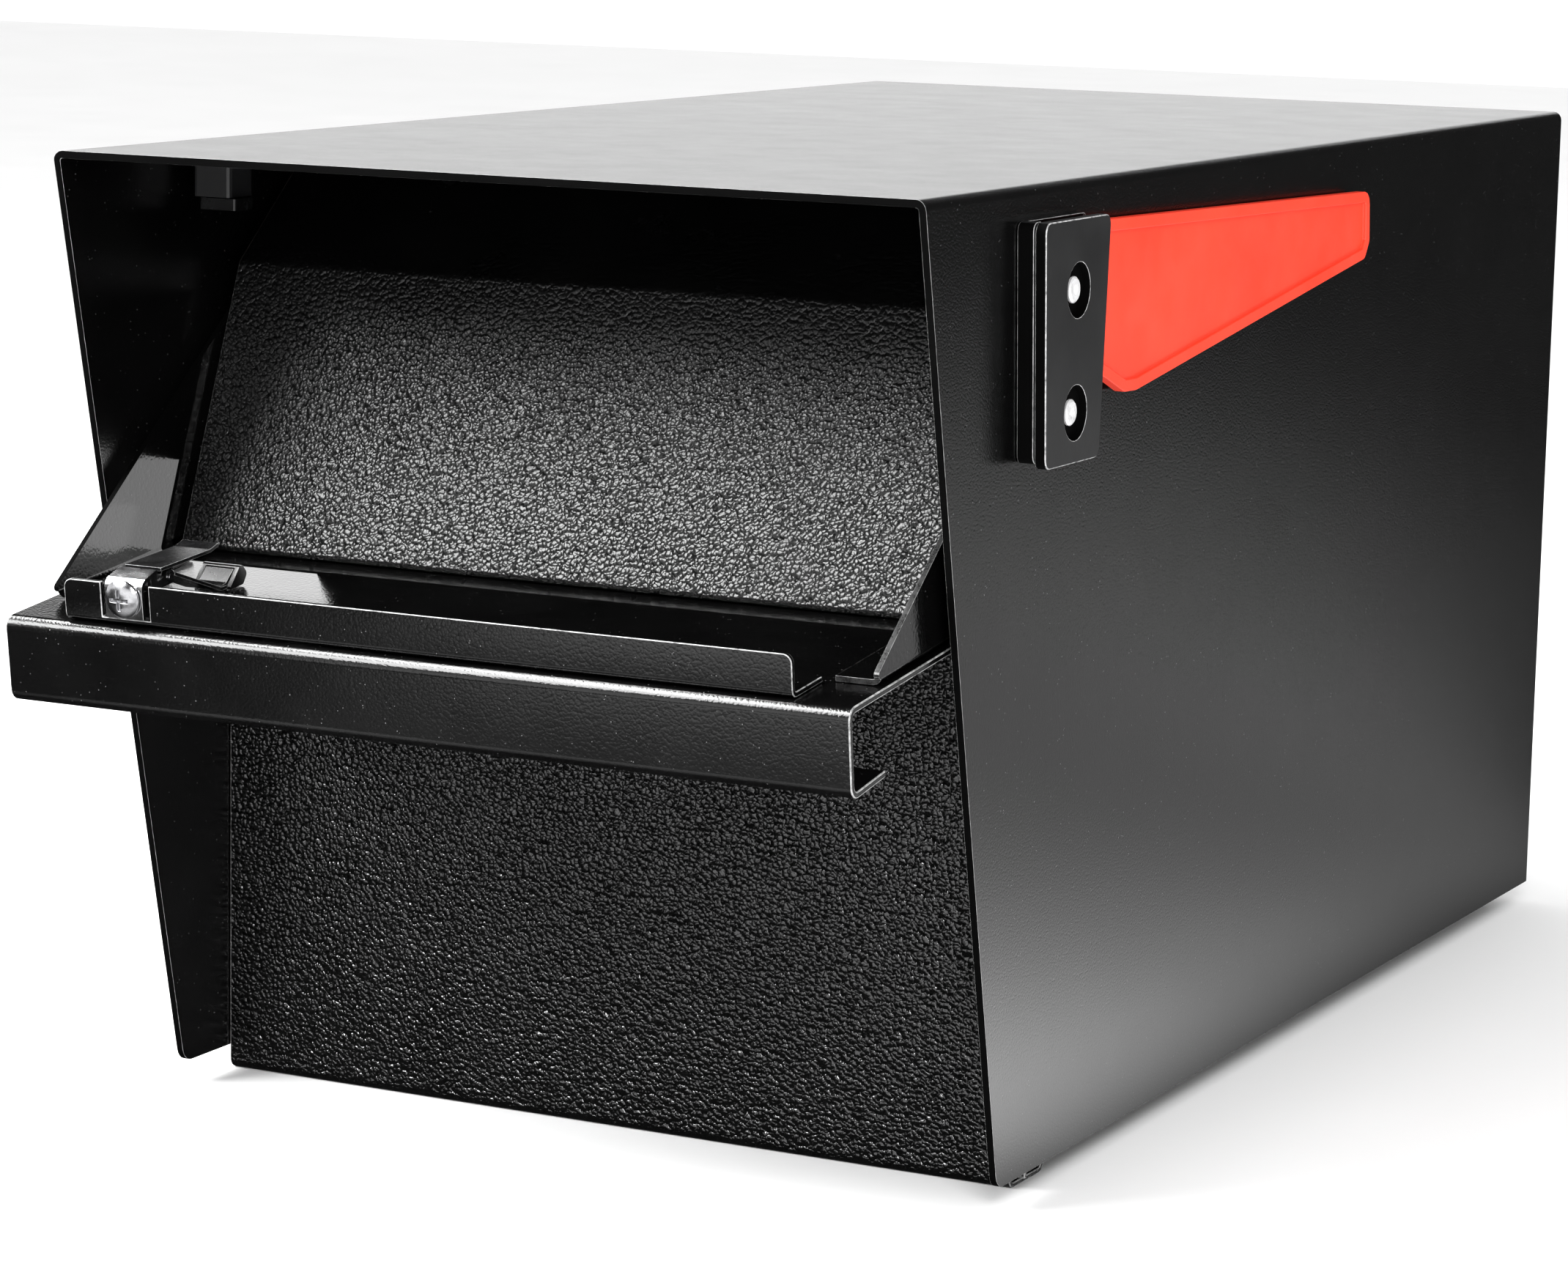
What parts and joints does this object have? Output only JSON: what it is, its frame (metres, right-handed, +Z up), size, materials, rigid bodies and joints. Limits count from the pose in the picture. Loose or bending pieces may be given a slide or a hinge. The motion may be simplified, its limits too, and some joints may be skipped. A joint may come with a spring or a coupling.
{
  "type": "kerbside parcel drop box",
  "caption": "Bent steel kerbside box with a slanted hooded front, pull-down hopper tray with a mail clip, side flag and lockable rear door.",
  "frame": {"origin": "middle of the underside of the base channel that the box stands on and is bolted down through", "axes": "+Z up, -Y out of the front where the hopper opens, +X towards the side panel that carries the flag"},
  "size_m": [0.2819, 0.5651, 0.2865],
  "materials": {
    "black_coat": "black textured powder coat on steel sheet, semi gloss",
    "black_plastic": "satin moulded black plastic",
    "flag_orange": "satin moulded bright red-orange plastic",
    "zinc": "bright zinc-plated steel",
    "plated": "bright nickel plate",
    "dark_steel": "dark oiled spring steel",
    "vinyl": "black dipped vinyl, glossy",
    "foam": "black closed-cell foam strip",
    "brass": "turned brass lock plug"
  },
  "bodies": {
    "housing": {"housing_wrap": "black_coat", "front_panel": "black_coat", "floor_pan": "black_coat", "base_channel": "black_coat", "base_screw_1": "zinc", "base_screw_2": "zinc", "base_screw_3": "zinc", "base_screw_4": "zinc", "base_nut_1": "zinc", "base_nut_2": "zinc", "base_nut_3": "zinc", "base_nut_4": "zinc", "hopper_hinge_fixed": "black_coat", "hopper_hinge_rod": "zinc", "hopper_stop_left": "vinyl", "hopper_stop_right": "vinyl", "catch_block_left": "black_plastic", "catch_block_right": "black_plastic", "catch_magnet_left": "dark_steel", "catch_magnet_right": "dark_steel", "flag_base": "black_plastic", "flag_cover": "black_plastic", "flag_bush": "zinc", "flag_washer": "zinc", "flag_pivot_screw": "plated", "flag_pivot_nut": "zinc", "flag_lower_screw": "plated", "flag_lower_nut": "zinc", "rear_frame": "black_coat", "rear_gasket": "foam", "rear_hinge_fixed": "black_coat", "rear_hinge_pin": "zinc", "lock_strike": "black_coat"},
    "hopper": {"hopper_door": "black_coat", "hopper_stiffener": "black_coat", "wing_left": "black_coat", "wing_right": "black_coat", "baffle": "black_coat", "hopper_hinge_moving": "black_coat", "clip_bracket": "plated", "clip_screw": "plated", "clip_backer": "black_coat", "clip_pin": "zinc", "clip_spring": "dark_steel"},
    "mail_clip": {"clip_lever": "dark_steel", "clip_pad": "vinyl"},
    "flag": {"flag": "flag_orange"},
    "rear_door": {"rear_door": "black_coat", "rear_hinge_moving": "black_coat", "lock_body": "plated", "lock_nut": "zinc"},
    "lock": {"lock_plug": "brass", "lock_cam": "zinc", "lock_cam_screw": "zinc"}
  },
  "joints": [
    {"name": "hopper_hinge", "type": "hinge", "parent": "housing", "child": "hopper", "pos_m": [0, -0.18025, 0.1673], "axis": [-1, 0, 0], "range_deg": [0, 82]},
    {"name": "clip_pivot", "type": "hinge", "parent": "hopper", "child": "mail_clip", "pos_m": [-0.0938, -0.27843, 0.1704], "axis": [1, 0, 0], "range_deg": [0, 25], "stiffness_Nm_per_rad": 0.05, "springref_deg": -20.05},
    {"name": "flag_pivot", "type": "hinge", "parent": "housing", "child": "flag", "pos_m": [0.1395, -0.18375, 0.2577], "axis": [1, 0, 0], "range_deg": [0, 90]},
    {"name": "rear_door_hinge", "type": "hinge", "parent": "housing", "child": "rear_door", "pos_m": [0, 0.26675, 0.0133], "axis": [-1, 0, 0], "range_deg": [0, 90]},
    {"name": "lock_turn", "type": "hinge", "parent": "rear_door", "child": "lock", "pos_m": [0, 0.25, 0.2533], "axis": [0, -1, 0], "range_deg": [0, 90]}
  ]
}
